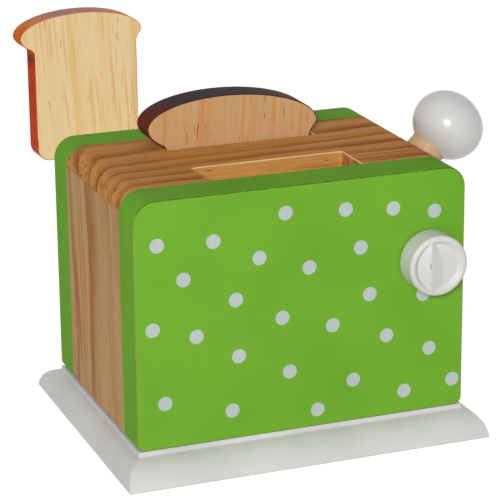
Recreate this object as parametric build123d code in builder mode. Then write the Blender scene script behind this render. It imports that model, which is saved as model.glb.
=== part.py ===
from build123d import *
import os
from math import atan2, cos, radians, sin

# Wooden toy toaster. Millimetres; +X is the lever end, +Y the back, +Z up.
# The origin is the middle of the base board's underside.

# Fits
glue_gap = 0.05       # radial, round a glued dowel
pin_gap = 0.1         # radial, round something that turns or slides
seat_gap = 0.3        # between a moving piece and what carries it
hole_spare = 0.2      # left empty at the end of a blind hole

# Body
panel_w = 140
panel_h = 102
panel_t = 18
panel_top_r = 9
panel_foot_r = 3
panel_ease = 0.8
core_d = 70
top_t = 8
end_t = 18
body_d = core_d + 2 * panel_t

# Base board: a low step under the body, and a rounded moulding all round it
base_t = 12
step_h = 2
base_side_out = 7.6
base_front_out = 11.6   # and at the back
moulding_belly = 0.67   # where its curve's middle lies, as a share of its height and width
moulding_h = base_t - step_h
base_w = panel_w + 2 * base_side_out
base_d = body_d + 2 * base_front_out

# Heights of the body
body_z = base_t
top_z = body_z + panel_h
under_top_z = top_z - top_t
end_x = panel_w / 2 - end_t / 2
inner_x = panel_w / 2 - end_t

# Toast slots
slot_l = 65.2
slot_w = 20.5
slot_corner_r = 1.2
slot_y = core_d / 2 - slot_w / 2

# Toast slices: a straight body under an oval head
slice_t = 14
slice_h = 87
slice_w = 63.6
head_w = 75.2
head_h = 26
head_left = 2.4         # of its middle, from the body's
head_lean = 2.2         # of the slot slice's head, its right side down
head_z = slice_h - head_h / 2
slice_foot_r = 8
slice_neck_r = 1.5
loose_x = 54.3
loose_y = 425
loose_turn = 2.5        # from square to the toaster

# Lever
lever_angle = 43.4      # above level, at rest
lever_travel = 35
rod_d = 16
pivot_drop = 23         # of the pivot's axis, below the top
pivot_x = end_x
pivot_z = top_z - pivot_drop
pivot_d = 6
pivot_inset = 2         # of the pin's ends, from the end board's edges
rod_tail = 7.5          # of the rod, beyond the cross dowel's axis
ball_at = 36.3          # from the pivot to the ball's middle
ball_d = 31
ball_l = 28
ball_rim_r = 13         # round its middle; its ends are flatter
ball_bore_l = 9.5
cross_d = 8
cross_l = 40
lever_slot_w = rod_d + 1.2
lever_slot_gap = 0.6

# Lift board and its guides
lift_t = 6
lift_side_gap = 0.5
lift_slot_w = rod_d + 3
lift_slot_spare = 2     # past the rod's furthest reach
guide_d = 8
guide_out = 7.4         # beyond the slots' left ends
guide_x = -slot_l / 2 - guide_out
guide_y = 20
guide_foot = 7
guide_head = 4

# Dowels, screws and the knob
joint_dowel_d = 8
joint_dowel_panel = 10
joint_dowel_core = 20
joint_dowel_z = (30, 62)
top_dowel_d = 6
top_dowel_up = 5
top_dowel_down = 10
top_dowel_inset = 9     # from the core's front and back
top_dowel_y = core_d / 2 - top_dowel_inset
screw_d = 3.9
screw_head_d = 8
screw_head_h = 2.2
screw_sink = 0.4
screw_up = 28
screw_y = 10
knob_in = 16.3          # from the panel's right edge
knob_drop = 37.2        # below the top
knob_x = panel_w / 2 - knob_in
knob_z = top_z - knob_drop
knob_d = 25
knob_t = 10
knob_ease = 1.3
bar_w = 6.6
scoop_r = 5
scoop_deep = 1.5
knob_bore = 7
washer_d = 12
washer_t = 1
knob_head_d = 7.5
knob_head_h = 2.6
knob_sink_d = 9
knob_sink = 5
shank_slack = 0.5

# The lever's own plane: local X runs outwards along the rod, from the pivot.
lever_dir = (cos(radians(lever_angle)), 0, sin(radians(lever_angle)))
lever_plane = Plane(origin=(pivot_x, 0, pivot_z), x_dir=lever_dir, z_dir=(0, -1, 0))
lever_axis = Axis((pivot_x, 0, pivot_z), lever_dir)
rod_plane = Plane(origin=(pivot_x, 0, pivot_z), x_dir=(0, 1, 0), z_dir=lever_dir)

# The slot slice all but rests on its left shoulder, where its leaning head comes over
# the slot's end. The drop is from the oval's middle down to that shoulder.
lean = radians(head_lean)
shoulder_x = slot_l / 2 - head_left
head_reach = ((head_w / 2 * cos(lean)) ** 2 + (head_h / 2 * sin(lean)) ** 2) ** 0.5
level_drop = head_w / 2 * head_h / 2 * (head_reach**2 - shoulder_x**2) ** 0.5 / head_reach**2
lean_rise = (head_w**2 - head_h**2) / 4 * sin(lean) * cos(lean) * shoulder_x / head_reach**2
shoulder_drop = level_drop - lean_rise
slice_z = top_z + seat_gap - (head_z - shoulder_drop)
lift_top_z = slice_z - seat_gap
cross_z = lift_top_z - lift_t - seat_gap - cross_d / 2
cross_at = (pivot_z - cross_z) / sin(radians(lever_angle))
rod_inner = cross_at + rod_tail
ball_inner = ball_at - ball_l / 2
ball_outer = ball_at + ball_l / 2
pivot_l = core_d - 2 * pivot_inset
lift_slot_end = pivot_x - rod_inner - lift_slot_spare
front_y = -body_d / 2
inner_y = core_d / 2


with BuildSketch(Plane.XZ) as body_outline:
    with Locations((0, body_z + panel_h / 2)):
        Rectangle(panel_w, panel_h)
    fillet(body_outline.vertices().group_by(Axis.Y)[-1], panel_top_r)
    fillet(body_outline.vertices().group_by(Axis.Y)[0], panel_foot_r)


# Base board: screwed up into the two ends, with seats for the lift guides.
# Its moulding is narrow at the ends and wide at the front and back. The two
# profiles, drawn across the board and along it, meet in mitres.
with BuildPart() as base_board:
    for plane, inside, out, reach, how in (
        (Plane.XZ, panel_w / 2, base_side_out, base_d / 2, Mode.ADD),
        (Plane.YZ, body_d / 2, base_front_out, base_w / 2, Mode.INTERSECT),
    ):
        belly_x = inside + out * moulding_belly
        belly_z = moulding_h * moulding_belly
        with BuildSketch(plane):
            with BuildLine():
                ThreePointArc((inside + out, 0), (belly_x, belly_z), (inside, moulding_h))
                Line((inside, moulding_h), (-inside, moulding_h))
                ThreePointArc((-inside, moulding_h), (-belly_x, belly_z), (-inside - out, 0))
                Line((-inside - out, 0), (inside + out, 0))
            make_face()
        extrude(amount=reach, both=True, mode=how)
    Box(panel_w, body_d, base_t, align=(Align.CENTER, Align.CENTER, Align.MIN))
    with GridLocations(2 * end_x, 2 * screw_y, 2, 2):
        Cylinder(
            screw_d / 2 + glue_gap,
            base_t,
            align=(Align.CENTER, Align.CENTER, Align.MIN),
            mode=Mode.SUBTRACT,
        )
        Cone(
            screw_head_d / 2 + screw_sink + glue_gap,
            screw_d / 2 + glue_gap,
            screw_sink + screw_head_h,
            align=(Align.CENTER, Align.CENTER, Align.MIN),
            mode=Mode.SUBTRACT,
        )
    with Locations((guide_x, -guide_y, base_t), (guide_x, guide_y, base_t)):
        Cylinder(
            guide_d / 2 + glue_gap,
            guide_foot,
            align=(Align.CENTER, Align.CENTER, Align.MAX),
            mode=Mode.SUBTRACT,
        )


# Front panel: bored for its dowels and for the knob's screw
with BuildPart() as front_panel:
    with BuildSketch(Plane.XZ.offset(inner_y)):
        add(body_outline.sketch)
    extrude(amount=panel_t)
    chamfer(front_panel.faces().sort_by(Axis.Y)[0].edges(), panel_ease)
    with BuildSketch(Plane.XZ.offset(inner_y)):
        for dowel_x in (-end_x, end_x):
            with Locations(*[(dowel_x, dowel_z) for dowel_z in joint_dowel_z]):
                Circle(joint_dowel_d / 2 + glue_gap)
    extrude(amount=joint_dowel_panel, mode=Mode.SUBTRACT)
    with BuildSketch(Plane.XZ.offset(inner_y)):
        with Locations((knob_x, knob_z)):
            Circle(knob_sink_d / 2)
    extrude(amount=knob_sink, mode=Mode.SUBTRACT)
    with BuildSketch(Plane.XZ.offset(inner_y)):
        with Locations((knob_x, knob_z)):
            Circle(screw_d / 2 + shank_slack)
    extrude(amount=panel_t, mode=Mode.SUBTRACT)


# Rear panel
with BuildPart() as rear_panel:
    with BuildSketch(Plane.XZ.offset(-inner_y)):
        add(body_outline.sketch)
    extrude(amount=-panel_t)
    chamfer(rear_panel.faces().sort_by(Axis.Y)[-1].edges(), panel_ease)
    with BuildSketch(Plane.XZ.offset(-inner_y)):
        for dowel_x in (-end_x, end_x):
            with Locations(*[(dowel_x, dowel_z) for dowel_z in joint_dowel_z]):
                Circle(joint_dowel_d / 2 + glue_gap)
    extrude(amount=-joint_dowel_panel, mode=Mode.SUBTRACT)


# Top board: a toast slot is notched into each long edge
with BuildPart() as top_board:
    with BuildSketch(Plane.XZ.offset(-inner_y)):
        add(body_outline.sketch)
    extrude(amount=core_d)
    split(bisect_by=Plane.XY.offset(under_top_z), keep=Keep.TOP)
    with BuildSketch(Plane.XY.offset(under_top_z)):
        with Locations((0, -slot_y), (0, slot_y)):
            Rectangle(slot_l, slot_w)
    extrude(amount=top_t, mode=Mode.SUBTRACT)
    inner_corners = top_board.edges().filter_by(Axis.Z).filter_by_position(
        Axis.Y, -slot_y, slot_y
    )
    fillet(inner_corners, slot_corner_r)
    with Locations(*[(x, y, under_top_z) for x in (-end_x, end_x) for y in (-top_dowel_y, top_dowel_y)]):
        Cylinder(
            top_dowel_d / 2 + glue_gap,
            top_dowel_up,
            align=(Align.CENTER, Align.CENTER, Align.MIN),
            mode=Mode.SUBTRACT,
        )
    with Locations((guide_x, -guide_y, under_top_z), (guide_x, guide_y, under_top_z)):
        Cylinder(
            guide_d / 2 + glue_gap,
            guide_head,
            align=(Align.CENTER, Align.CENTER, Align.MIN),
            mode=Mode.SUBTRACT,
        )
    with BuildSketch(rod_plane):
        Circle(lever_slot_w / 2)
    extrude(amount=ball_at, mode=Mode.SUBTRACT)


# Left end board
with BuildPart() as left_end_board:
    with BuildSketch(Plane.XZ.offset(-inner_y)):
        add(body_outline.sketch)
    extrude(amount=core_d)
    split(bisect_by=Plane.XY.offset(under_top_z), keep=Keep.BOTTOM)
    split(bisect_by=Plane.YZ.offset(-inner_x), keep=Keep.BOTTOM)
    for side in (-1, 1):
        with BuildSketch(Plane.XZ.offset(-side * inner_y)):
            with Locations(*[(-end_x, dowel_z) for dowel_z in joint_dowel_z]):
                Circle(joint_dowel_d / 2 + glue_gap)
        extrude(amount=side * joint_dowel_core, mode=Mode.SUBTRACT)
    with Locations((-end_x, -top_dowel_y, under_top_z), (-end_x, top_dowel_y, under_top_z)):
        Cylinder(
            top_dowel_d / 2 + glue_gap,
            top_dowel_down,
            align=(Align.CENTER, Align.CENTER, Align.MAX),
            mode=Mode.SUBTRACT,
        )
    with Locations((-end_x, -screw_y, body_z), (-end_x, screw_y, body_z)):
        Cylinder(
            screw_d / 2 + glue_gap,
            screw_up,
            align=(Align.CENTER, Align.CENTER, Align.MIN),
            mode=Mode.SUBTRACT,
        )


# Right end board: the lever's slot has a sloping sill, whose outer edge stops the rod
with BuildPart() as right_end_board:
    with BuildSketch(Plane.XZ.offset(-inner_y)):
        add(body_outline.sketch)
    extrude(amount=core_d)
    split(bisect_by=Plane.XY.offset(under_top_z), keep=Keep.BOTTOM)
    split(bisect_by=Plane.YZ.offset(inner_x), keep=Keep.TOP)
    down_angle = radians(lever_angle - lever_travel)
    rest_angle = radians(lever_angle)
    half_end = end_t / 2
    sill_outer = pivot_z + (half_end * sin(down_angle) - rod_d / 2) / cos(down_angle) - seat_gap
    sill_inner = pivot_z - (half_end * sin(rest_angle) + rod_d / 2) / cos(rest_angle) - lever_slot_gap
    with BuildSketch(Plane.XZ.offset(-lever_slot_w / 2)):
        with BuildLine():
            Polyline(
                (inner_x, sill_inner),
                (inner_x + end_t, sill_outer),
                (inner_x + end_t, under_top_z),
                (inner_x, under_top_z),
                close=True,
            )
        make_face()
    extrude(amount=lever_slot_w, mode=Mode.SUBTRACT)
    with BuildSketch(Plane.XZ.offset(-inner_y)):
        with Locations((pivot_x, pivot_z)):
            Circle(pivot_d / 2 + glue_gap)
    extrude(amount=core_d, mode=Mode.SUBTRACT)
    for side in (-1, 1):
        with BuildSketch(Plane.XZ.offset(-side * inner_y)):
            with Locations(*[(end_x, dowel_z) for dowel_z in joint_dowel_z]):
                Circle(joint_dowel_d / 2 + glue_gap)
        extrude(amount=side * joint_dowel_core, mode=Mode.SUBTRACT)
    with Locations((end_x, -top_dowel_y, under_top_z), (end_x, top_dowel_y, under_top_z)):
        Cylinder(
            top_dowel_d / 2 + glue_gap,
            top_dowel_down,
            align=(Align.CENTER, Align.CENTER, Align.MAX),
            mode=Mode.SUBTRACT,
        )
    with Locations((end_x, -screw_y, body_z), (end_x, screw_y, body_z)):
        Cylinder(
            screw_d / 2 + glue_gap,
            screw_up,
            align=(Align.CENTER, Align.CENTER, Align.MIN),
            mode=Mode.SUBTRACT,
        )


# Panel dowels: glued half into a panel, half into the edge of an end board
joint_dowel_l = joint_dowel_panel + joint_dowel_core - 2 * hole_spare
joint_dowel_y = inner_y + joint_dowel_panel - hole_spare
with BuildPart() as front_panel_dowels:
    with BuildSketch(Plane.XZ.offset(joint_dowel_y)):
        for dowel_x in (-end_x, end_x):
            with Locations(*[(dowel_x, dowel_z) for dowel_z in joint_dowel_z]):
                Circle(joint_dowel_d / 2)
    extrude(amount=-joint_dowel_l)

with BuildPart() as rear_panel_dowels:
    with BuildSketch(Plane.XZ.offset(-joint_dowel_y)):
        for dowel_x in (-end_x, end_x):
            with Locations(*[(dowel_x, dowel_z) for dowel_z in joint_dowel_z]):
                Circle(joint_dowel_d / 2)
    extrude(amount=joint_dowel_l)


# Top dowels: between the top board and the tops of the end boards
with BuildPart() as top_board_dowels:
    with BuildSketch(Plane.XY.offset(under_top_z - top_dowel_down + hole_spare)):
        with GridLocations(2 * end_x, 2 * top_dowel_y, 2, 2):
            Circle(top_dowel_d / 2)
    extrude(amount=top_dowel_up + top_dowel_down - 2 * hole_spare)


# Base screws: countersunk wood screws, driven up through the base
with BuildPart() as base_screws:
    with GridLocations(2 * end_x, 2 * screw_y, 2, 2):
        with Locations((0, 0, screw_sink)):
            Cone(
                screw_head_d / 2,
                screw_d / 2,
                screw_head_h,
                align=(Align.CENTER, Align.CENTER, Align.MIN),
            )
        with Locations((0, 0, screw_sink + screw_head_h)):
            Cylinder(
                screw_d / 2,
                base_t + screw_up - screw_sink - screw_head_h - hole_spare,
                align=(Align.CENTER, Align.CENTER, Align.MIN),
            )


# Lever rod: a dowel bored for its pivot and for the cross dowel
with BuildPart() as lever_rod:
    with BuildSketch(rod_plane.offset(-rod_inner)):
        Circle(rod_d / 2)
    extrude(amount=rod_inner + ball_inner + ball_bore_l - hole_spare)
    with BuildSketch(lever_plane.offset(-rod_d)):
        Circle(pivot_d / 2 + pin_gap)
    extrude(amount=2 * rod_d, mode=Mode.SUBTRACT)
    with BuildSketch(lever_plane.offset(-rod_d)):
        with Locations((-cross_at, 0)):
            Circle(cross_d / 2 + glue_gap)
    extrude(amount=2 * rod_d, mode=Mode.SUBTRACT)

with BuildPart() as lever_cross_dowel:
    with BuildSketch(lever_plane.offset(-cross_l / 2)):
        with Locations((-cross_at, 0)):
            Circle(cross_d / 2)
    extrude(amount=cross_l)

with BuildPart() as lever_pivot_pin:
    with BuildSketch(lever_plane.offset(-pivot_l / 2)):
        Circle(pivot_d / 2)
    extrude(amount=pivot_l)


# Lever ball: a turned oval, flattened along the rod. A flat arc at each end runs
# smoothly into a tighter one round the middle.
with BuildPart() as lever_ball:
    rim_rise = ball_d / 2 - ball_rim_r
    end_r = (ball_rim_r**2 - ball_l**2 / 4 - rim_rise**2) / (2 * ball_rim_r - ball_l)
    end_angle = atan2(rim_rise, end_r - ball_l / 2)
    end_dip = end_r * (1 - cos(end_angle))
    middle_dip = end_r * (1 - cos(end_angle / 2))
    end_rise = end_r * sin(end_angle)
    middle_rise = end_r * sin(end_angle / 2)
    with BuildSketch(lever_plane):
        with BuildLine():
            ThreePointArc(
                (ball_inner, 0), (ball_inner + middle_dip, middle_rise), (ball_inner + end_dip, end_rise)
            )
            ThreePointArc(
                (ball_inner + end_dip, end_rise), (ball_at, ball_d / 2), (ball_outer - end_dip, end_rise)
            )
            ThreePointArc(
                (ball_outer - end_dip, end_rise), (ball_outer - middle_dip, middle_rise), (ball_outer, 0)
            )
            Line((ball_outer, 0), (ball_inner, 0))
        make_face()
    revolve(axis=lever_axis)
    with BuildSketch(rod_plane):
        Circle(rod_d / 2 + glue_gap)
    extrude(amount=ball_inner + ball_bore_l, mode=Mode.SUBTRACT)


# Lift board: the rod works in its slot, and the cross dowel carries it from below
with BuildPart() as lift_board:
    with BuildSketch(Plane.XY.offset(lift_top_z)):
        Rectangle(2 * (inner_x - lift_side_gap), core_d - 2 * lift_side_gap)
        with Locations((lift_slot_end, 0)):
            Rectangle(
                inner_x - lift_slot_end,
                lift_slot_w,
                align=(Align.MIN, Align.CENTER),
                mode=Mode.SUBTRACT,
            )
        with Locations((guide_x, -guide_y), (guide_x, guide_y)):
            Circle(guide_d / 2 + seat_gap, mode=Mode.SUBTRACT)
    extrude(amount=-lift_t)

with BuildPart() as lift_guide_dowels:
    with BuildSketch(Plane.XY.offset(base_t - guide_foot + hole_spare)):
        with Locations((guide_x, -guide_y), (guide_x, guide_y)):
            Circle(guide_d / 2)
    extrude(amount=under_top_z - base_t + guide_foot + guide_head - 2 * hole_spare)


# Toast: a wide oval head on a straight body, a little to its left, sawn from a board
slot_plane = Plane(origin=(0, slot_y, slice_z), x_dir=(1, 0, 0), z_dir=(0, -1, 0))
with BuildPart() as slot_toast:
    with BuildSketch(slot_plane) as slot_outline:
        Rectangle(slice_w, head_z, align=(Align.CENTER, Align.MIN))
        fillet(slot_outline.vertices().group_by(Axis.Y)[0], slice_foot_r)
        with Locations((-head_left, head_z)):
            Ellipse(head_w / 2, head_h / 2, rotation=-head_lean)
        fillet(slot_outline.vertices().sort_by(Axis.Y)[4:6], slice_neck_r)
    extrude(amount=slice_t / 2, both=True)

loose_dir = (cos(radians(loose_turn)), sin(radians(loose_turn)), 0)
loose_front = (sin(radians(loose_turn)), -cos(radians(loose_turn)), 0)
loose_plane = Plane(origin=(loose_x, loose_y, 0), x_dir=loose_dir, z_dir=loose_front)
with BuildPart() as loose_toast:
    with BuildSketch(loose_plane) as loose_outline:
        Rectangle(slice_w, head_z, align=(Align.CENTER, Align.MIN))
        fillet(loose_outline.vertices().group_by(Axis.Y)[0], slice_foot_r)
        with Locations((-head_left, head_z)):
            Ellipse(head_w / 2, head_h / 2)
        fillet(loose_outline.vertices().sort_by(Axis.Y)[4:6], slice_neck_r)
    extrude(amount=slice_t / 2, both=True)


# Knob: a turned disc, scooped from both sides to leave a grip bar
knob_back = -front_y + washer_t + seat_gap
with BuildPart() as timer_knob:
    with BuildSketch(Plane.XZ.offset(knob_back)):
        with Locations((knob_x, knob_z)):
            Circle(knob_d / 2)
    extrude(amount=knob_t)
    fillet(timer_knob.faces().sort_by(Axis.Y)[0].edges(), knob_ease)
    scoop_out = scoop_r - scoop_deep
    scoop_x = bar_w / 2 + (scoop_r**2 - scoop_out**2) ** 0.5
    with BuildSketch(Plane.XY.offset(knob_z - knob_d)):
        with Locations(*[(knob_x + side * scoop_x, -knob_back - knob_t - scoop_out) for side in (-1, 1)]):
            Circle(scoop_r)
    extrude(amount=2 * knob_d, mode=Mode.SUBTRACT)
    with BuildSketch(Plane.XZ.offset(knob_back)):
        with Locations((knob_x, knob_z)):
            Circle(screw_d / 2 + glue_gap)
    extrude(amount=knob_bore, mode=Mode.SUBTRACT)

with BuildPart() as knob_washer:
    with BuildSketch(Plane.XZ.offset(-front_y)):
        with Locations((knob_x, knob_z)):
            Circle(washer_d / 2)
            Circle(screw_d / 2 + shank_slack, mode=Mode.SUBTRACT)
    extrude(amount=washer_t)

with BuildPart() as knob_screw:
    head_y = inner_y + knob_sink - seat_gap
    with BuildSketch(Plane.XZ.offset(head_y)):
        with Locations((knob_x, knob_z)):
            Circle(knob_head_d / 2)
    extrude(amount=-knob_head_h)
    with BuildSketch(Plane.XZ.offset(head_y)):
        with Locations((knob_x, knob_z)):
            Circle(screw_d / 2)
    extrude(amount=knob_back + knob_bore - hole_spare - head_y)


os.makedirs("parts", exist_ok=True)
pieces = {
    "base_board": base_board,
    "base_screws": base_screws,
    "front_panel": front_panel,
    "front_panel_dowels": front_panel_dowels,
    "rear_panel": rear_panel,
    "rear_panel_dowels": rear_panel_dowels,
    "left_end_board": left_end_board,
    "right_end_board": right_end_board,
    "top_board": top_board,
    "top_board_dowels": top_board_dowels,
    "lever_rod": lever_rod,
    "lever_ball": lever_ball,
    "lever_cross_dowel": lever_cross_dowel,
    "lever_pivot_pin": lever_pivot_pin,
    "lift_board": lift_board,
    "lift_guide_dowels": lift_guide_dowels,
    "slot_toast": slot_toast,
    "loose_toast": loose_toast,
    "timer_knob": timer_knob,
    "knob_screw": knob_screw,
    "knob_washer": knob_washer,
}
for label, piece in pieces.items():
    piece.part.label = label
    export_step(piece.part, f"parts/{label}.step")
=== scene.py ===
from math import cos, radians, sin

import bmesh
import bpy
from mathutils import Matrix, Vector


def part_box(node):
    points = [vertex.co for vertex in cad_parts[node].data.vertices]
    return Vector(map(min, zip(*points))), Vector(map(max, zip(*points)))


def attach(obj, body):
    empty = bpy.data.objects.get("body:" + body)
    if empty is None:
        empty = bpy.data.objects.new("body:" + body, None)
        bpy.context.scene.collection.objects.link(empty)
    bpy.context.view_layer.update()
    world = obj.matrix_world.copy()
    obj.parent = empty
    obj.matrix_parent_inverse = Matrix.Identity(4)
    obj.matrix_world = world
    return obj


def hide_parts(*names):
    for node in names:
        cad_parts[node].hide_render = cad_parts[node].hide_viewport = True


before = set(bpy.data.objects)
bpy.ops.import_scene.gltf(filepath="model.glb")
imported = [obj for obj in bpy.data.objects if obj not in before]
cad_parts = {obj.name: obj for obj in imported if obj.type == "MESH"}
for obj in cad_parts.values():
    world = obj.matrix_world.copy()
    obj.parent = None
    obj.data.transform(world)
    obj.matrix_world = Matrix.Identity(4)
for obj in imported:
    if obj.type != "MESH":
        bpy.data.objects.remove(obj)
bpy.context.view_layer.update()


# Base board: a white-painted board with a rounded moulding worked along its top
# edges, narrow at the ends and wider at the front and back, so that it meets in
# mitres. The flat left inside the moulding stands up as a low step for the body.
base_low, base_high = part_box("base_board")
face_low, face_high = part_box("front_panel")
step_height = 0.002
moulding_cuts = 14
front_belly = 1.6
mitre_lean = 0.01
mitre_wear = 0.0003
step_edge = 0.0003
foot_edge = 0.0005
# Edges and faces are picked to within a hair of a place, and by how squarely they lie.
hair = 0.00001
squarely = 0.9


def clamp_alone(piece):
    """Makes the piece the only one selected, ready to be worked on."""
    if bpy.context.object and bpy.context.object.mode == "EDIT":
        bpy.ops.object.mode_set(mode="OBJECT")
    bpy.ops.object.select_all(action="DESELECT")
    piece.select_set(True)
    bpy.context.view_layer.objects.active = piece


def settle(piece):
    """Works the piece's place, turn and size into its mesh."""
    clamp_alone(piece)
    bpy.ops.object.transform_apply(location=True, rotation=True, scale=True)


def saw_board(name, low, high):
    """A square-edged board between two corners."""
    bpy.ops.object.select_all(action="DESELECT")
    bpy.ops.mesh.primitive_cube_add(size=1, location=(Vector(low) + Vector(high)) / 2)
    blank = bpy.context.object
    blank.name = name
    blank.scale = Vector(high) - Vector(low)
    settle(blank)
    return blank


def open_mesh(piece, kind):
    """Opens the piece for editing, so that its edges or its faces can be picked."""
    clamp_alone(piece)
    bpy.ops.object.mode_set(mode="EDIT")
    bpy.ops.mesh.select_mode(type=kind)
    bpy.ops.mesh.select_all(action="DESELECT")
    return bmesh.from_edit_mesh(piece.data)


def pick_edges(piece, wanted):
    """Selects the edges whose middle and direction are wanted, and leaves the piece open."""
    shape = open_mesh(piece, "EDGE")
    for edge in shape.edges:
        start, end = edge.verts
        edge.select_set(bool(wanted((start.co + end.co) / 2, (end.co - start.co).normalized())))
    bmesh.update_edit_mesh(piece.data)


def pick_faces(piece, wanted):
    """Selects the faces whose middle and normal are wanted, and leaves the piece open."""
    shape = open_mesh(piece, "FACE")
    for face in shape.faces:
        face.select_set(bool(wanted(face.calc_center_median(), face.normal)))
    bmesh.update_edit_mesh(piece.data)


def round_edges(piece, wanted, radius, steps, finish_slot=-1):
    """Rounds over the wanted edges, and can give the rounding a finish of its own."""
    pick_edges(piece, wanted)
    bpy.ops.mesh.bevel(offset=radius, segments=steps, profile=0.5, affect="EDGES", material=finish_slot)
    bpy.ops.object.mode_set(mode="OBJECT")


def sand(piece, crease=40):
    """Smooths the piece where its faces meet at less than the crease, and keeps its flats flat."""
    clamp_alone(piece)
    bpy.ops.object.shade_smooth_by_angle(angle=radians(crease))
    flats = piece.modifiers.new("flats", "WEIGHTED_NORMAL")
    flats.keep_sharp = True
    bpy.ops.object.modifier_apply(modifier=flats.name)


def colour(red, green, blue):
    """A screen colour, 0 to 255 each, as the linear one that a shader takes."""
    parts = [part / 255 for part in (red, green, blue)]
    return (*[part / 12.92 if part <= 0.04045 else ((part + 0.055) / 1.055) ** 2.4 for part in parts], 1)


def level(value):
    """A grey, also for a ramp that carries a strength and not a colour."""
    return (value, value, value, 1)


def feed(tree, socket, value):
    """Feeds a socket with the output of an earlier node, or with a plain value."""
    if isinstance(value, bpy.types.NodeSocket):
        tree.links.new(value, socket)
    else:
        socket.default_value = value


def layer(tree, kind, feeds=None, **settings):
    """Adds one node to a finish, with its settings and what feeds its inputs."""
    node = tree.nodes.new(kind)
    for key, value in settings.items():
        setattr(node, key, value)
    for key, value in (feeds or {}).items():
        feed(tree, node.inputs[key], value)
    return node


def open_finish(name):
    """A new finish, its node tree, and the coordinates that are fixed to the piece."""
    finish = bpy.data.materials.new(name)
    finish.use_nodes = True
    place = layer(finish.node_tree, "ShaderNodeTexCoord").outputs["Object"]
    return finish, finish.node_tree, place


def close_finish(finish, coat, matt, bump, more):
    """Feeds the shader that the finish ends in, and gives the finish back."""
    shader = finish.node_tree.nodes["Principled BSDF"]
    feeds = {"Base Color": coat, "Roughness": matt, "Normal": bump, **more}
    for key, value in feeds.items():
        feed(finish.node_tree, shader.inputs[key], value)
    return finish


def grain_along(tree, place, direction, heart=(0, 0, 0)):
    """Coordinates whose Z lies along the grain, counted from the trunk's heart."""
    turn = Vector(direction).to_track_quat("Z", "Y").to_euler()
    feeds = {"Vector": place, "Location": heart, "Rotation": turn}
    return layer(tree, "ShaderNodeMapping", feeds, vector_type="TEXTURE").outputs["Vector"]


def stretched(tree, source, along):
    """Coordinates that run slower along Z, so that a noise read from them lies in streaks."""
    return layer(tree, "ShaderNodeMapping", {"Vector": source, "Scale": (1, 1, along)}).outputs["Vector"]


def noise(tree, source, size, detail, roughness=0.5, output="Fac"):
    """A noise whose blots are about that size, in metres."""
    feeds = {"Vector": source, "Scale": 1 / size, "Detail": detail, "Roughness": roughness}
    return layer(tree, "ShaderNodeTexNoise", feeds).outputs[output]


def reckon(tree, how, one, other=0):
    """A sum or a product of two values, or another such step."""
    return layer(tree, "ShaderNodeMath", {0: one, 1: other}, operation=how).outputs[0]


def between(tree, source, low, high, start=0, end=1):
    """A value that goes from low to high while its source goes from start to end."""
    feeds = {"Value": source, "From Min": start, "From Max": end, "To Min": low, "To Max": high}
    return layer(tree, "ShaderNodeMapRange", feeds).outputs["Result"]


def ramp(tree, source, stops):
    """Turns a value into colours, by their places from 0 to 1."""
    node = layer(tree, "ShaderNodeValToRGB", {"Fac": source})
    while len(node.color_ramp.elements) < len(stops):
        node.color_ramp.elements.new(0.5)
    for element, (place, tint) in zip(node.color_ramp.elements, stops):
        element.position = place
        element.color = tint
    return node.outputs["Color"]


def blend(tree, share, under, over, how="MIX"):
    """Lays one colour over another, by a share from 0 to 1."""
    feeds = {0: share, 6: under, 7: over}
    return layer(tree, "ShaderNodeMix", feeds, data_type="RGBA", blend_type=how).outputs[2]


def relief(tree, height, strength, depth):
    """The fine relief of a surface, that deep in metres."""
    feeds = {"Height": height, "Strength": strength, "Distance": depth}
    return layer(tree, "ShaderNodeBump", feeds).outputs["Normal"]


def painted_wood(name, tint, thin_tint, grain, sheen, dry):
    """Two sprayed coats on sanded wood. The tint is a little uneven, the wood's
    grain shows through as faint ridges, and the paint dries with a slight orange peel."""
    finish, tree, place = open_finish(name)
    board = grain_along(tree, place, grain)
    cloud = noise(tree, board, size=0.030, detail=3)
    lines = noise(tree, stretched(tree, board, along=0.04), size=0.0016, detail=3)
    peel = noise(tree, place, size=0.0011, detail=1)
    thin = ramp(tree, cloud, [(0.38, level(0)), (0.72, level(1))])
    streak = ramp(tree, lines, [(0.56, level(0)), (0.74, level(1))])
    coat = blend(tree, thin, tint, thin_tint)
    coat = blend(tree, reckon(tree, "MULTIPLY", streak, 0.35), coat, thin_tint)
    ridges = reckon(tree, "MULTIPLY", lines, 0.8)
    bump = relief(tree, reckon(tree, "ADD", peel, ridges), strength=0.35, depth=0.00006)
    matt = between(tree, cloud, dry - 0.06, dry + 0.08)
    return close_finish(finish, coat, matt, bump, {"Specular IOR Level": sheen})


moulding_rise = base_high.z - step_height - base_low.z
end_overhang = base_high.x - face_high.x
front_overhang = face_low.y - base_low.y
first_cut = moulding_rise * sin(radians(90 / moulding_cuts))
painted_base = saw_board("painted_base", base_low, (base_high.x, base_high.y, base_low.z + first_cut))
pick_faces(painted_base, lambda middle, normal: normal.z > squarely)
half_x, half_y, height = base_high.x, base_high.y, first_cut
for cut in range(1, moulding_cuts + 1):
    turn = radians(90 * cut / moulding_cuts)
    next_x = face_high.x + end_overhang * cos(turn)
    next_y = -face_low.y + front_overhang * (1 - sin(turn) ** front_belly) ** (1 / front_belly)
    if cut > 1:
        rise = moulding_rise * sin(turn) - height
        bpy.ops.mesh.extrude_region_move(TRANSFORM_OT_translate={"value": (0, 0, rise)})
        height += rise
    shrink = (next_x / half_x, next_y / half_y, 1)
    bpy.ops.transform.resize(value=shrink, center_override=(0, 0, 0))
    half_x, half_y = next_x, next_y
bpy.ops.mesh.extrude_region_move(TRANSFORM_OT_translate={"value": (0, 0, step_height)})
bpy.ops.object.mode_set(mode="OBJECT")
round_edges(
    painted_base,
    lambda middle, run: abs(run.x) > mitre_lean and abs(run.y) > mitre_lean,
    mitre_wear,
    steps=2,
)
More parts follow.
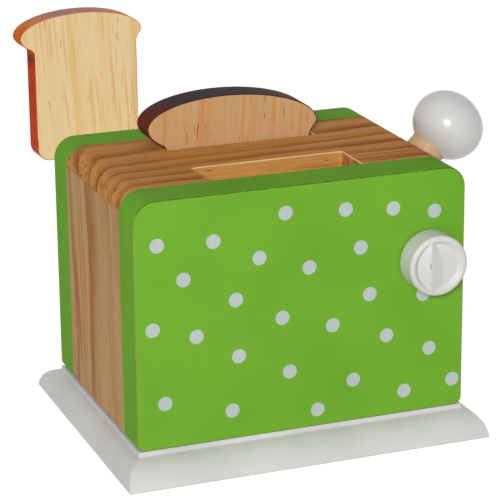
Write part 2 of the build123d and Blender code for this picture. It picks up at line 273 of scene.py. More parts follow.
round_edges(painted_base, lambda middle, run: middle.z > base_high.z - hair, step_edge, steps=3)
round_edges(painted_base, lambda middle, run: middle.z < base_low.z + hair, foot_edge, steps=3)
sand(painted_base, crease=38)
white_board_paint = painted_wood(
    "white_board_paint",
    tint=colour(213, 213, 210),
    thin_tint=colour(203, 202, 198),
    grain=(1, 0, 0),
    sheen=0.3,
    dry=0.42,
)
painted_base.data.materials.append(white_board_paint)
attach(painted_base, "body")
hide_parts("base_board")


# Base screws: four countersunk steel screws, driven up through the base into the
# ends. They are zinc plated, with a faint mottle.
def plated_steel(name, tint, dull_tint):
    """Zinc-plated steel, drawn and slightly dulled."""
    finish, tree, place = open_finish(name)
    cloud = noise(tree, place, size=0.002, detail=4)
    scratch = noise(tree, stretched(tree, place, along=0.1), size=0.0003, detail=2)
    coat = blend(tree, cloud, tint, dull_tint)
    bump = relief(tree, scratch, strength=0.2, depth=0.00002)
    matt = between(tree, cloud, 0.28, 0.45)
    return close_finish(finish, coat, matt, bump, {"Metallic": 1})


def refinish(node, finish):
    """Gives a construction piece that stays as it is its own finish."""
    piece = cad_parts[node]
    piece.data.materials.clear()
    piece.data.materials.append(finish)


zinc = plated_steel("zinc", colour(196, 198, 202), colour(150, 152, 158))
refinish("base_screws", zinc)


# End boards: flat-sawn pine on end, its grain upright, planed and lightly oiled.
# They are screwed to the base and doweled to the panels and the top board. The
# right one is slotted for the lever, down to a sloping sill.
left_low, left_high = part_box("left_end_board")
right_low, right_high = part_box("right_end_board")
pivot_low, pivot_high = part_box("lever_pivot_pin")
pivot = (pivot_low + pivot_high) / 2
foot_round = 0.003
board_arris = 0.0003
lever_way = 0.0172
sill_inner = 0.0709
sill_outer = 0.0839
saw_spare = 0.005


def pine(
    name, pale, ring, streak, along, heart, ring_gap, wander, bold, streak_width, streaks, coarse, fleck
):
    """Planed pine from a trunk whose heart runs through a point, along a direction.
    The rings are shells round the heart: pale early wood that darkens to a
    narrow late band. Fine fibre, resin streaks and short flecks lie along the grain."""
    finish, tree, place = open_finish(name)
    trunk = grain_along(tree, place, along, heart)
    drift = noise(tree, stretched(tree, trunk, along=0.22), size=0.045, detail=2, output="Color")
    drift_feeds = {0: drift, 1: (0.5, 0.5, 0.5)}
    middle = layer(tree, "ShaderNodeVectorMath", drift_feeds, operation="SUBTRACT").outputs[0]
    sway = layer(tree, "ShaderNodeVectorMath", {0: middle, "Scale": wander}, operation="SCALE").outputs[0]
    bent = layer(tree, "ShaderNodeVectorMath", {0: trunk, 1: sway}, operation="ADD").outputs[0]
    # A wave of scale 1 has its rings this far apart, in metres.
    whole_gap = 0.31416
    wave_feeds = {"Vector": bent, "Scale": whole_gap / ring_gap}
    wave_feeds.update({"Distortion": 1.2, "Detail": 2, "Detail Scale": 0.6})
    wave_kind = {"wave_type": "RINGS", "rings_direction": "Z", "wave_profile": "SAW"}
    rings = layer(tree, "ShaderNodeTexWave", wave_feeds, **wave_kind).outputs["Fac"]
    late_stops = [(0.0, level(0.4)), (0.08, level(0)), (0.5, level(0.2)), (0.9, level(1)), (1.0, level(0.7))]
    late = ramp(tree, rings, late_stops)
    uneven = noise(tree, stretched(tree, trunk, along=0.15), size=0.014, detail=2)
    strength = between(tree, uneven, 0.3 * bold, bold, start=0.35, end=0.6)
    share = reckon(tree, "MULTIPLY", late, strength)
    coat = blend(tree, share, pale, ring)
    resin = noise(tree, stretched(tree, bent, along=0.04), size=streak_width, detail=2)
    resin_share = ramp(tree, resin, [(0.56, level(0)), (0.68, level(streaks))])
    coat = blend(tree, resin_share, coat, streak)
    fibre = noise(tree, stretched(tree, bent, along=0.02), size=0.0007, detail=4, roughness=0.7)
    fibre_tint = ramp(tree, fibre, [(0.3, colour(236, 228, 216)), (0.6, level(1))])
    coat = blend(tree, coarse, coat, fibre_tint, how="MULTIPLY")
    dash = noise(tree, stretched(tree, bent, along=0.08), size=0.0009, detail=1)
    dash_share = ramp(tree, dash, [(0.70, level(0)), (0.76, level(0.8))])
    coat = blend(tree, dash_share, coat, fleck)
    height = reckon(tree, "SUBTRACT", reckon(tree, "ADD", fibre, share), dash_share)
    bump = relief(tree, height, strength=0.5, depth=0.00008)
    matt = between(tree, fibre, 0.5, 0.7)
    return close_finish(finish, coat, matt, bump, {"Specular IOR Level": 0.03})


def end_pine(name, along, heart, ring_gap):
    """The pine of one end board. The two are sawn from the same kind of trunk."""
    return pine(
        name,
        pale=colour(204, 167, 117),
        ring=colour(166, 108, 68),
        streak=colour(178, 112, 70),
        along=along,
        heart=heart,
        ring_gap=ring_gap,
        wander=0.014,
        bold=0.9,
        streak_width=0.004,
        streaks=0.8,
        coarse=1.0,
        fleck=colour(110, 62, 34),
    )


def round_foot(board, outer_x, foot_z):
    """Rounds the lower edge of an end board's outer face, just above the base."""
    round_edges(
        board,
        lambda middle, run: abs(middle.x - outer_x) < hair and middle.z < foot_z + hair,
        foot_round,
        steps=6,
    )


def ease_face(board, outer_x, foot_z):
    """Takes the sharpness off the other edges of its outer face."""
    round_edges(
        board,
        lambda middle, run: abs(middle.x - outer_x) < hair and middle.z > foot_z + foot_round + hair,
        board_arris,
        steps=2,
    )


def rod_between(name, start, end, radius, sides):
    """A round rod from one point to another."""
    bpy.ops.object.select_all(action="DESELECT")
    run = Vector(end) - Vector(start)
    bpy.ops.mesh.primitive_cylinder_add(
        vertices=sides,
        radius=radius,
        depth=run.length,
        location=(Vector(start) + Vector(end)) / 2,
        rotation=run.to_track_quat("Z", "Y").to_euler(),
    )
    blank = bpy.context.object
    blank.name = name
    settle(blank)
    return blank


def combine(piece, tool, how):
    """Cuts the tool's shape out of the piece, keeps what the two share, or makes them one.
    The tool is used up."""
    clamp_alone(piece)
    work = piece.modifiers.new("work", "BOOLEAN")
    work.operation = how
    work.solver = "EXACT"
    work.object = tool
    bpy.ops.object.modifier_apply(modifier=work.name)
    bpy.data.objects.remove(tool)


left_end = saw_board("left_end", left_low, left_high)
round_foot(left_end, left_low.x, left_low.z)
ease_face(left_end, left_low.x, left_low.z)
sand(left_end)
left_heart = (left_low.x + 0.045, -0.012, 0)
left_end_pine = end_pine("left_end_pine", along=(0.02, 0.06, 1), heart=left_heart, ring_gap=0.0062)
left_end.data.materials.append(left_end_pine)
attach(left_end, "body")
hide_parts("left_end_board")

right_end = saw_board("right_end", right_low, right_high)
round_foot(right_end, right_high.x, right_low.z)
sill_slope = (sill_outer - sill_inner) / (right_high.x - right_low.x)
slot_saw = saw_board(
    "slot_saw",
    (right_low.x - saw_spare, -lever_way / 2, sill_inner - sill_slope * saw_spare),
    (right_high.x + saw_spare, lever_way / 2, right_high.z + saw_spare),
)
pick_edges(
    slot_saw,
    lambda middle, run: abs(run.y) > squarely and middle.z < sill_inner and middle.x > right_high.x,
)
saw_lift = sill_slope * (right_high.x - right_low.x + 2 * saw_spare)
bpy.ops.transform.translate(value=(0, 0, saw_lift))
bpy.ops.object.mode_set(mode="OBJECT")
combine(right_end, slot_saw, "DIFFERENCE")
ease_face(right_end, right_high.x, right_low.z)
sand(right_end)
right_heart = (right_high.x - 0.050, 0.018, 0)
right_end_pine = end_pine("right_end_pine", along=(-0.03, 0.02, 1), heart=right_heart, ring_gap=0.0058)
right_end.data.materials.append(right_end_pine)
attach(right_end, "body")
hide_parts("right_end_board")


# Dowels and pins: plain beech dowels, cut to length and glued into the boards.
# Only the lift board's guides, through the toast slots, and a little of the
# lever's pivot, beside the lever, can be seen.
def beech(name, pale, fleck, along):
    """Turned beech: even and fine, with short darker rays along the grain."""
    finish, tree, place = open_finish(name)
    stem = grain_along(tree, place, along)
    cloud = noise(tree, stretched(tree, stem, along=0.15), size=0.004, detail=3)
    rays = noise(tree, stretched(tree, stem, along=0.12), size=0.0009, detail=2)
    fibre = noise(tree, stretched(tree, stem, along=0.02), size=0.0005, detail=3)
    ray_share = ramp(tree, rays, [(0.56, level(0)), (0.70, level(0.75))])
    cloud_tint = ramp(tree, cloud, [(0.3, level(0.88)), (0.7, level(1.06))])
    coat = blend(tree, ray_share, pale, fleck)
    coat = blend(tree, 0.8, coat, cloud_tint, how="MULTIPLY")
    bump = relief(tree, fibre, strength=0.3, depth=0.00005)
    matt = between(tree, fibre, 0.42, 0.6)
    return close_finish(finish, coat, matt, bump, {"Specular IOR Level": 0.3})


beech_pale = colour(208, 176, 136)
beech_fleck = colour(176, 132, 90)
upright_dowel = beech("upright_dowel", beech_pale, beech_fleck, (0, 0, 1))
level_dowel = beech("level_dowel", beech_pale, beech_fleck, (0, 1, 0))
for node in ("top_board_dowels", "lift_guide_dowels"):
    refinish(node, upright_dowel)
for node in ("front_panel_dowels", "rear_panel_dowels", "lever_pivot_pin", "lever_cross_dowel"):
    refinish(node, level_dowel)


# Lift board: a thin pine board that slides on the two guides. The slice stands
# on it, and the lever's cross dowel carries it from below.
lift_pine = pine(
    "lift_pine",
    pale=colour(200, 160, 108),
    ring=colour(170, 122, 74),
    streak=colour(180, 124, 70),
    along=(1, 0.03, 0),
    heart=(0, 0.01, -0.03),
    ring_gap=0.005,
    wander=0.010,
    bold=0.7,
    streak_width=0.004,
    streaks=0.8,
    coarse=1.0,
    fleck=colour(110, 62, 34),
)
refinish("lift_board", lift_pine)


# Top board: a flat-sawn pine board across the ends, its grain from end to end.
# Its own ends are rounded over, where the rings come out as nested arches. A
# slot is notched into each long edge, and the lever comes out through the right end.
top_low, top_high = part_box("top_board")
ball_low, ball_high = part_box("lever_ball")
ball_middle = (ball_low + ball_high) / 2
lever_run = (ball_middle - pivot).normalized()
corner_round = 0.009
slot_length = 0.0652
slot_width = 0.0205
slot_corner = 0.0012
rim_arris = 0.0005
joint_arris = 0.0004
end_reach = 0.001


def saw_off(piece, place, waste):
    """Saws straight through the piece, closes the cut, and drops what lies towards the waste."""
    clamp_alone(piece)
    bpy.ops.object.mode_set(mode="EDIT")
    bpy.ops.mesh.select_all(action="SELECT")
    bpy.ops.mesh.bisect(plane_co=place, plane_no=waste, use_fill=True, clear_outer=True)
    bpy.ops.object.mode_set(mode="OBJECT")


def on_slot_rim(middle, run):
    """The slots' upper edges, which are sanded over."""
    inside_x = abs(middle.x) < slot_length / 2 + hair
    inside_y = abs(middle.y) > top_high.y - slot_width - hair and abs(middle.y) < top_high.y - hair
    return middle.z > top_high.z - hair and inside_x and inside_y


def on_lower_end(middle, run):
    """The lower edges of the board's own ends, where it sits on the end boards."""
    at_end = abs(middle.x) > face_high.x - end_reach
    return abs(run.y) > squarely and middle.z < top_low.z + hair and at_end


top_plank = saw_board(
    "top_plank",
    (face_low.x, top_low.y, face_low.z),
    (face_high.x, top_high.y, top_high.z),
)
round_edges(
    top_plank,
    lambda middle, run: abs(run.y) > squarely and middle.z > top_high.z - hair,
    corner_round,
    steps=16,
)
saw_off(top_plank, (0, 0, top_low.z), waste=(0, 0, -1))
for side in (-1, 1):
    inner_edge = side * (top_high.y - slot_width)
    outer_edge = side * (top_high.y + saw_spare)
    notch = saw_board(
        "notch",
        (-slot_length / 2, min(inner_edge, outer_edge), top_low.z - saw_spare),
        (slot_length / 2, max(inner_edge, outer_edge), top_high.z + saw_spare),
    )
    round_edges(
        notch,
        lambda middle, run: abs(run.z) > squarely and abs(middle.y) < abs(inner_edge) + hair,
        slot_corner,
        steps=4,
    )
    combine(top_plank, notch, "DIFFERENCE")
lever_drill = rod_between("lever_drill", pivot, ball_middle, lever_way / 2, sides=64)
combine(top_plank, lever_drill, "DIFFERENCE")
top_pine = pine(
    "top_pine",
    pale=colour(214, 154, 84),
    ring=colour(150, 80, 36),
    streak=colour(164, 94, 44),
    along=(1, 0.03, 0),
    heart=(0.030, 0.056, top_high.z - 0.0545),
    ring_gap=0.0085,
    wander=0.012,
    bold=1.0,
    streak_width=0.003,
    streaks=0.8,
    coarse=1.0,
    fleck=colour(96, 52, 24),
)
# The slots' rounded rims get a much paler pine: a painted highlight along them.
rim_highlight_pine = pine(
    "rim_highlight_pine",
    pale=colour(238, 204, 150),
    ring=colour(216, 172, 116),
    streak=colour(206, 150, 92),
    along=(1, 0.03, 0),
    heart=(0, 0.060, top_high.z - 0.050),
    ring_gap=0.0085,
    wander=0.012,
    bold=0.6,
    streak_width=0.003,
    streaks=0.5,
    coarse=0.6,
    fleck=colour(150, 96, 52),
)
top_plank.data.materials.append(top_pine)
top_plank.data.materials.append(rim_highlight_pine)
round_edges(top_plank, on_lower_end, joint_arris, steps=2)
# The rounded slot rims take the pine of the painted highlight.
round_edges(top_plank, on_slot_rim, rim_arris, steps=3, finish_slot=1)
sand(top_plank)
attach(top_plank, "body")
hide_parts("top_board")


# Lever: a beech rod that turns on its pivot inside the right end, and carries a
# white-painted ball. The ball is turned a little flat along the rod, and bored for it.
cross_low, cross_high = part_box("lever_cross_dowel")
cross_middle = (cross_low + cross_high) / 2
rod_radius = 0.008
rod_tail = 0.0075
stem_arris = 0.0006
ball_width = 0.0310
ball_length = 0.0280
ball_bore = 0.0093
bore_play = 0.00025


def gloss_paint(name, tint, thin_tint, grain):
    """A thick glossy coat, dipped or sprayed on a turned piece, with hardly any grain left to see."""
    finish, tree, place = open_finish(name)
    stem = grain_along(tree, place, grain)
    cloud = noise(tree, stem, size=0.012, detail=3)
    lines = noise(tree, stretched(tree, stem, along=0.08), size=0.0018, detail=2)
    coat = blend(tree, cloud, tint, thin_tint)
    bump = relief(tree, reckon(tree, "ADD", cloud, lines), strength=0.25, depth=0.00006)
    matt = between(tree, lines, 0.26, 0.34)
    more = {"Specular IOR Level": 0.4, "Coat Weight": 0.35, "Coat Roughness": 0.2}
    return close_finish(finish, coat, matt, bump, more)


rod_start = cross_middle - lever_run * rod_tail
rod_end = ball_middle - lever_run * (ball_length / 2 - ball_bore)
lever_stem = rod_between("lever_stem", rod_start, rod_end, rod_radius, sides=64)
round_edges(lever_stem, lambda middle, run: abs(run.dot(lever_run)) < squarely, stem_arris, steps=3)
sand(lever_stem)
stem_beech = beech("stem_beech", colour(202, 167, 129), colour(176, 130, 92), lever_run)
lever_stem.data.materials.append(stem_beech)
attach(lever_stem, "lever")
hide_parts("lever_rod")

bpy.ops.object.select_all(action="DESELECT")
bpy.ops.mesh.primitive_uv_sphere_add(
    segments=96,
    ring_count=48,
    radius=ball_width / 2,
    location=ball_middle,
    rotation=lever_run.to_track_quat("Z", "Y").to_euler(),
)
ball_handle = bpy.context.object
ball_handle.name = "ball_handle"
ball_handle.scale = (1, 1, ball_length / ball_width)
settle(ball_handle)
drill_end = rod_end + lever_run * hair
bore_drill = rod_between("bore_drill", rod_start, drill_end, rod_radius + bore_play, sides=64)
combine(ball_handle, bore_drill, "DIFFERENCE")
sand(ball_handle, crease=50)
ball_paint = gloss_paint("ball_paint", colour(213, 213, 211), colour(206, 205, 202), lever_run)
ball_handle.data.materials.append(ball_paint)
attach(ball_handle, "lever")
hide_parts("lever_ball")


# Panels: two thick boards with rounded corners, doweled over the core's front
# and back and sprayed green. The paint has rubbed thin along their outer arrises.
back_low, back_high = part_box("rear_panel")
panel_arris = 0.0008
grime_full = 0.003
grime_ends = 0.012


def rubbed_paint(name, tint, grime, worn, bare):
    """Paint along an arris. Its middle is grimy on the upper edge, worn thin down the
    sides and the foot, and rubbed through to the wood in specks."""
    finish, tree, place = open_finish(name)
    across = layer(tree, "ShaderNodeSeparateXYZ", {"Vector": place}).outputs
    from_middle = reckon(tree, "ABSOLUTE", across["Y"])
    over_arris = between(tree, from_middle, 0, 1, start=back_high.y - panel_arris, end=back_high.y)
    crest_stops = [(0.46, level(0)), (0.64, level(1)), (0.84, level(1)), (0.98, level(0))]
    crest = ramp(tree, over_arris, crest_stops)
    grimy = between(tree, across["Z"], 0, 1, start=back_high.z - grime_ends, end=back_high.z - grime_full)
    patches = noise(tree, place, size=0.006, detail=4, roughness=0.7)
    specks = noise(tree, place, size=0.0016, detail=3, roughness=0.7)
    patch_share = ramp(tree, patches, [(0.36, level(0.55)), (0.56, level(0.95))])
    speck_share = ramp(tree, specks, [(0.62, level(0)), (0.68, level(0.9))])
    worn_share = reckon(tree, "MULTIPLY", patch_share, crest)
    bare_share = reckon(tree, "MULTIPLY", speck_share, crest)
    coat = blend(tree, worn_share, tint, blend(tree, grimy, worn, grime))
    coat = blend(tree, bare_share, coat, bare)
    bump = relief(tree, specks, strength=0.4, depth=0.00008)
    matt = 0.65
    return close_finish(finish, coat, matt, bump, {"Specular IOR Level": 0.02})


def panel(name, low, high, outer_y):
    """A board with its upper corners well rounded, and its outer rim eased and rubbed."""
    inner_y = low.y + high.y - outer_y
    blank = saw_board(name, low, high)
    blank.data.materials.append(green_paint)
    blank.data.materials.append(rubbed_green)
    round_edges(
        blank,
        lambda middle, run: abs(run.y) > squarely and middle.z > high.z - hair,
        corner_round,
        steps=16,
    )
    round_edges(
        blank,
        lambda middle, run: abs(run.y) > squarely and middle.z < low.z + hair,
        foot_round,
        steps=6,
    )
    round_edges(
        blank,
        lambda middle, run: abs(middle.y - outer_y) < hair,
        panel_arris,
        steps=4,
        finish_slot=1,
    )
    round_edges(blank, lambda middle, run: abs(middle.y - inner_y) < hair, board_arris, steps=2)
    sand(blank)
    return blank


green_paint = painted_wood(
    "green_paint",
    tint=colour(114, 173, 51),
    thin_tint=colour(108, 167, 49),
    grain=(0, 0, 1),
    sheen=0.02,
    dry=0.6,
)
rubbed_green = rubbed_paint(
    "rubbed_green",
    tint=colour(114, 173, 51),
    grime=colour(60, 78, 30),
    worn=colour(138, 142, 58),
    bare=colour(214, 190, 130),
)
face_panel = panel("face_panel", face_low, face_high, face_low.y)
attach(face_panel, "body")
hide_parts("front_panel")

back_panel = panel("back_panel", back_low, back_high, back_high.y)
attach(back_panel, "body")
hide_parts("rear_panel")


# Dots: round white spots, screen printed on the front panel in a loose scatter.
# Their places are in millimetres, across from the middle and up from the table.
dot_radius = 0.00297
ink_height = 0.00006
ink_round = ink_height * 0.6
dot_places = [
    (-7.5, 103), (18, 101.5), (38.5, 99.5), (56.5, 96.5), (-60.5, 96), (-37.5, 95),
    (-18.5, 86), (2.5, 79.5), (24.5, 85), (-50, 81), (-28.5, 70), (-9, 60),
    (12.5, 54), (28.5, 65), (52, 62), (-63, 62), (-45, 57), (36, 46.5),
    (55, 38.5), (-27.5, 46.5), (-6, 37), (21.5, 29.5), (65.5, 23.5), (44, 21.5),
    (-58.5, 31), (-30.5, 24), (6, 19),
]
ink_back = face_low.y + ink_height
ink_front = face_low.y - ink_height
spots = []
for across, up in dot_places:
    x = across / 1000
    z = up / 1000
    spot = rod_between("spot", (x, ink_back, z), (x, ink_front, z), dot_radius, sides=40)
    round_edges(spot, lambda middle, run: middle.y < ink_front + hair, ink_round, steps=2)
    spots.append(spot)
clamp_alone(spots[0])
for spot in spots:
    spot.select_set(True)
bpy.ops.object.join()
printed_dots = bpy.context.object
printed_dots.name = "printed_dots"
sand(printed_dots)
dot_ink = painted_wood(
    "dot_ink",
    tint=colour(187, 196, 193),
    thin_tint=colour(180, 190, 187),
    grain=(0, 0, 1),
    sheen=0.1,
    dry=0.5,
)
printed_dots.data.materials.append(dot_ink)
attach(printed_dots, "body")


# Timer knob: a turned disc, hollowed inside its rim so that an upright grip is left,
# a little off the middle. Its two broad flanks meet in a ridge, and it widens downwards.
# It is painted white, with one crack, and a screw from inside holds it on a steel washer.
knob_low, knob_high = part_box("timer_knob")
knob_middle = (knob_low + knob_high) / 2
knob_radius = (knob_high.x - knob_low.x) / 2
knob_rim = 0.0013
hollow_radius = 0.0125
hollow_depth = 0.0015
hollow_slope = 2.5
grip_half = 0.0060
grip_curve = 0.0205
grip_left = 0.0034
grip_drop = 0.0030
grip_spare = 0.00005
ridge_share = 0.04
disc_spare = 0.001
crack_left = 0.0003
crack_up = 0.0003
crack_half = Vector((0.0002, 0.0013, 0.0012))


def turned_disc(name, across, up, low_y, high_y, radius):
    """A disc that faces the front, moved across and up from the knob's middle."""
    x = knob_middle.x + across
    z = knob_middle.z + up
    return rod_between(name, (x, high_y, z), (x, low_y, z), radius, sides=96)


knob_body = turned_disc("knob_body", 0, 0, knob_low.y, knob_high.y, knob_radius)
round_edges(knob_body, lambda middle, run: middle.y < knob_low.y + hair, knob_rim, steps=10)
hollow = turned_disc("hollow", 0, 0, knob_low.y - hollow_depth, knob_low.y + hollow_depth, hollow_radius)
pick_faces(hollow, lambda middle, normal: normal.y > squarely)
floor_share = 1 - hollow_slope * hollow_depth / hollow_radius
bpy.ops.transform.resize(value=(floor_share, 1, floor_share), center_override=knob_middle)
bpy.ops.object.mode_set(mode="OBJECT")
grip_top = knob_low.y - grip_spare
grip_foot = knob_low.y + hollow_depth + grip_spare
flank = grip_curve - grip_half
grip = turned_disc("grip", flank - grip_left, -grip_drop, grip_top, grip_foot, grip_curve)
other_side = turned_disc(
    "other_side", -flank - grip_left, -grip_drop, grip_top - disc_spare, grip_foot + disc_spare, grip_curve
)
combine(grip, other_side, "INTERSECT")
ridge_line = (knob_middle.x - grip_left, knob_middle.y, knob_middle.z)
pick_faces(grip, lambda middle, normal: normal.y < -squarely)
bpy.ops.transform.resize(value=(ridge_share, 1, 1), center_override=ridge_line)
bpy.ops.object.mode_set(mode="OBJECT")
combine(hollow, grip, "DIFFERENCE")
combine(knob_body, hollow, "DIFFERENCE")
crack_place = Vector((knob_middle.x - grip_left - crack_left, knob_low.y, knob_middle.z + crack_up))
crack_blade = saw_board("crack_blade", crack_place - crack_half, crack_place + crack_half)
combine(knob_body, crack_blade, "DIFFERENCE")
sand(knob_body, crease=12)
knob_paint = painted_wood(
    "knob_paint",
    tint=colour(216, 216, 213),
    thin_tint=colour(202, 201, 195),
    grain=(0, 0, 1),
    sheen=0.3,
    dry=0.4,
)
knob_body.data.materials.append(knob_paint)
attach(knob_body, "knob")
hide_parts("timer_knob")
refinish("knob_washer", zinc)
refinish("knob_screw", zinc)


# Toast slices: sawn from pine board to the outline of a loaf, the grain upright.
# The sawn rim is stained for a crust: dark brown on the slice in the rear slot, with a painted
# sheen on its crown, and rusty red on its pair, which stands by itself behind the toaster.
# The pair's pine and crust are painted lighter, as if lit more brightly, with a painted sheen
# on its crown and a painted shade under its head.
slice_thick = 0.014
slice_body = 0.0636
head_width = 0.0752
head_height = 0.026
head_middle = 0.074
head_left = 0.0024
slice_foot = 0.008
slice_neck = 0.002
slice_arris = 0.0005
body_spare = 0.002
head_spare = 0.001
neck_reach = 1.6
flat_on = 0.99


def loaf_slice(name, head_lean):
    """A straight body with rounded feet, under an oval head that overhangs it and may
    lean. It is cut at the origin, standing on its feet."""
    face = slice_thick / 2
    side = slice_body / 2
    blank = saw_board(name, (-side, -face - body_spare, 0), (side, face + body_spare, head_middle))
    round_edges(
        blank,
        lambda middle, run: abs(run.y) > squarely and middle.z < hair,
        slice_foot,
        steps=12,
    )
    head = rod_between("head", (0, -face - head_spare, 0), (0, face + head_spare, 0), radius=1, sides=96)
    head.scale = (head_width / 2, 1, head_height / 2)
    head.rotation_euler = (0, head_lean, 0)
    head.location = (-head_left, 0, head_middle)
    settle(head)
    combine(blank, head, "UNION")
    for facing in (-1, 1):
        saw_off(blank, (0, facing * face, 0), waste=(0, facing, 0))
    near_neck = side + neck_reach * slice_neck

    def beside_neck(middle, run):
        """The head's underside next to the neck, which gives way to the neck's rounding."""
        at_side = side + hair < abs(middle.x) < near_neck
        return abs(run.y) > squarely and at_side and middle.z < head_middle

    def in_neck(middle, run):
        """The two inner corners where the head meets the body."""
        at_side = abs(abs(middle.x) - side) < hair
        return abs(run.y) > squarely and at_side and middle.z > head_middle / 2

    pick_edges(blank, beside_neck)
    bpy.ops.mesh.dissolve_edges(use_verts=True)
    round_edges(blank, in_neck, slice_neck, steps=6)
    round_edges(blank, lambda middle, run: abs(run.y) < squarely, slice_arris, steps=2)
    return blank


def set_down(piece, place, turn):
    """Stands a slice at its place, turned about its upright middle."""
    piece.rotation_euler = (0, 0, turn)
    piece.location = place
    settle(piece)
    sand(piece)


def crust(name, foot_z, stain_and_light_stops):
    """Water staining on the sawn rim: uneven, with the saw's faint marks, and other tints further up.
    The colours are given by their heights on the slice. Besides the staining they hold a painted sheen
    at the crown, and on one slice a painted shade under the head."""
    finish, tree, place = open_finish(name)
    height = layer(tree, "ShaderNodeSeparateXYZ", {"Vector": place}).outputs["Z"]
    cloud = noise(tree, place, size=0.007, detail=4)
    marks = noise(tree, stretched(tree, place, along=0.2), size=0.0012, detail=3)
    slice_height = head_middle + head_height / 2
    rise = between(tree, height, 0, 1, start=foot_z, end=foot_z + slice_height)
    coat = ramp(tree, rise, [(up / slice_height, stain_and_light_stop) for up, stain_and_light_stop in stain_and_light_stops])
    patch = ramp(tree, cloud, [(0.3, level(0.82)), (0.7, level(1.12))])
    coat = blend(tree, 0.8, coat, patch, how="MULTIPLY")
    mark_tint = ramp(tree, marks, [(0.35, level(0.85)), (0.65, level(1.1))])
    coat = blend(tree, 0.6, coat, mark_tint, how="MULTIPLY")
    bump = relief(tree, marks, strength=0.4, depth=0.00008)
    matt = between(tree, cloud, 0.5, 0.65)
    return close_finish(finish, coat, matt, bump, {"Specular IOR Level": 0.03})


def finish_slice(piece, crumb, rim):
    """Puts the bare pine on the two flat faces, and the crust's staining, with its painted sheen and shade,
    on the rim.
    """
    piece.data.materials.append(crumb)
    piece.data.materials.append(rim)
    for face in piece.data.polygons:
        face.material_index = 0 if abs(face.normal.y) > flat_on else 1


slot_low, slot_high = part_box("slot_toast")
toast_lean = radians(2.2)
toast_slice = loaf_slice("toast_slice", toast_lean)
set_down(toast_slice, (0, (slot_low.y + slot_high.y) / 2, slot_low.z), 0)
toast_pine = pine(
    "toast_pine",
    pale=colour(206, 166, 120),
    ring=colour(202, 152, 102),
    streak=colour(208, 136, 68),
    along=(0.08, 0, 1),
    heart=(0.010, 0.12, 0),
    ring_gap=0.009,
    wander=0.012,
    bold=0.6,
    streak_width=0.0030,
    streaks=0.65,
    coarse=0.7,
    fleck=colour(104, 58, 32),
)
toast_crust = crust(
    "toast_crust",
    slot_low.z,
    # Its top stop is near-black staining greyed by a painted sheen along the crown.
    [(0.066, colour(108, 42, 22)), (0.080, colour(100, 42, 26)), (0.0858, colour(60, 48, 50))],
)
finish_slice(toast_slice, toast_pine, toast_crust)
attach(toast_slice, "toast")
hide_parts("slot_toast")

# The head reaches further left than right, so the body stands right of the box's middle.
spare_low, spare_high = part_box("loose_toast")
spare_turn = radians(2.5)
spare_slice = loaf_slice("spare_slice", 0)
spare_middle = (spare_low + spare_high) / 2
spare_place = Vector((spare_middle.x, spare_middle.y, spare_low.z))
spare_place += Vector((cos(spare_turn), sin(spare_turn), 0)) * head_left
set_down(spare_slice, spare_place, spare_turn)
# This slice's pine is painted much lighter, and its crust lighter and redder, as if lit more brightly.
spare_pine_painted_lighter = pine(
    "spare_pine_painted_lighter",
    pale=colour(255, 227, 176),
    ring=colour(250, 206, 128),
    streak=colour(240, 174, 92),
    along=(-0.05, 0, 1),
    heart=(0.135, 0.46, 0),
    ring_gap=0.016,
    wander=0.012,
    bold=0.75,
    streak_width=0.0024,
    streaks=0.5,
    coarse=0.35,
    fleck=colour(206, 130, 60),
)
spare_crust_painted_lighter = crust(
    "spare_crust_painted_lighter",
    spare_low.z,
    [
        (0.000, colour(200, 112, 76)),
        (0.012, colour(222, 80, 36)),
        (0.055, colour(214, 68, 26)),
        # The dark stop at the head's lower edge is a painted shade under the overhang.
        (0.061, colour(150, 54, 26)),
        (0.068, colour(240, 96, 20)),
        (0.079, colour(246, 126, 56)),
        # The pale, pinkish stops at the crown are a painted sheen.
        (0.083, colour(248, 158, 104)),
        (0.0862, colour(214, 148, 136)),
    ],
)
finish_slice(spare_slice, spare_pine_painted_lighter, spare_crust_painted_lighter)
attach(spare_slice, "second_toast")
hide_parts("loose_toast")


# Table and light: a plain white table that runs on into a white room. The room
# lights the toaster from all round, with one soft lamp beside the camera and a
# weaker one low down behind, which leaves no glint of its own.
table_size = 12
table_grey = level(0.75)
seen_grey = level(0.5)
seen_glow = 0.82
room_light = 0.26
white = level(1)
aim = Vector((-0.0032, 0, 0.0726))


def looked_at(tree):
    """One for what the camera sees, also in a reflection or through glass, and nought for light."""
    paths = layer(tree, "ShaderNodeLightPath").outputs
    seen = paths["Is Camera Ray"]
    for ray in ("Is Glossy Ray", "Is Transmission Ray"):
        seen = reckon(tree, "MAXIMUM", seen, paths[ray])
    return seen


def stand_off(name, data, away, turn, tilt):
    """Stands a lamp or a camera off, that far round the toaster and above it, facing it."""
    direction = Vector((sin(turn) * cos(tilt), -cos(turn) * cos(tilt), sin(tilt)))
    stood = bpy.data.objects.new(name, data)
    bpy.context.scene.collection.objects.link(stood)
    stood.location = aim + direction * away
    stood.rotation_euler = direction.to_track_quat("Z", "Y").to_euler()
    return stood


def soft_lamp(name, size, watts, away, turn, tilt):
    """A square soft box."""
    box = bpy.data.lights.new(name, "AREA")
    box.size = size
    box.energy = watts
    return stand_off(name, box, away, turn, tilt)


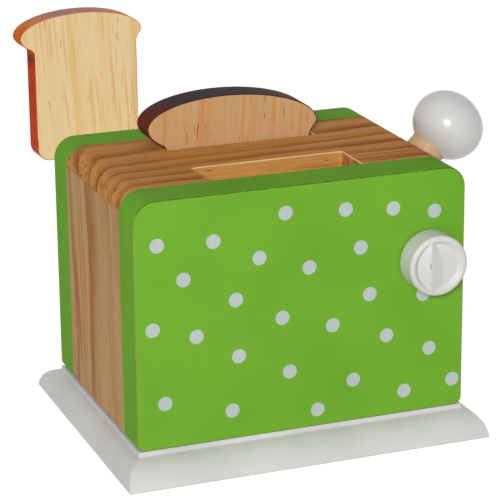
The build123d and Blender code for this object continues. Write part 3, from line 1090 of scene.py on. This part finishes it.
bpy.ops.object.select_all(action="DESELECT")
bpy.ops.mesh.primitive_plane_add(size=table_size, location=(0, 0, 0))
table = bpy.context.object
table.name = "table"
table_finish = bpy.data.materials.new("table_finish")
table_finish.use_nodes = True
tree = table_finish.node_tree
tree.nodes.clear()
board_top = layer(tree, "ShaderNodeBsdfDiffuse", {"Color": table_grey})
shaded_top = layer(tree, "ShaderNodeBsdfDiffuse", {"Color": seen_grey})
glow = layer(tree, "ShaderNodeEmission", {"Color": white, "Strength": seen_glow})
seen_top = layer(tree, "ShaderNodeAddShader", {0: shaded_top.outputs[0], 1: glow.outputs[0]})
top_feeds = {"Fac": looked_at(tree), 1: board_top.outputs[0], 2: seen_top.outputs[0]}
both = layer(tree, "ShaderNodeMixShader", top_feeds)
layer(tree, "ShaderNodeOutputMaterial", {"Surface": both.outputs[0]})
table.data.materials.append(table_finish)

world = bpy.data.worlds.new("white_room")
bpy.context.scene.world = world
world.use_nodes = True
tree = world.node_tree
tree.nodes.clear()
lighting = layer(tree, "ShaderNodeBackground", {"Color": white, "Strength": room_light})
backdrop = layer(tree, "ShaderNodeBackground", {"Color": white, "Strength": 1})
room_feeds = {"Fac": looked_at(tree), 1: lighting.outputs[0], 2: backdrop.outputs[0]}
both = layer(tree, "ShaderNodeMixShader", room_feeds)
layer(tree, "ShaderNodeOutputWorld", {"Surface": both.outputs[0]})

soft_lamp("key_lamp", size=0.40, watts=36, away=2.2, turn=radians(-27), tilt=radians(21))
fill_lamp = soft_lamp("fill_lamp", size=0.80, watts=20, away=2.2, turn=radians(140), tilt=radians(4))
fill_lamp.visible_glossy = False


# Camera: a long lens from the front left, a little above the toaster and turned
# a hair off level.
camera_turn = radians(-20.73)
camera_tilt = radians(17.69)
camera_roll = radians(-0.59)
camera_away = 0.9495
camera_data = bpy.data.cameras.new("camera")
camera_data.lens = 166.4
camera_data.sensor_width = 36
camera = stand_off("camera", camera_data, camera_away, camera_turn, camera_tilt)
camera.rotation_euler.rotate_axis("Z", camera_roll)
bpy.context.scene.camera = camera
bpy.context.scene.view_settings.view_transform = "Standard"
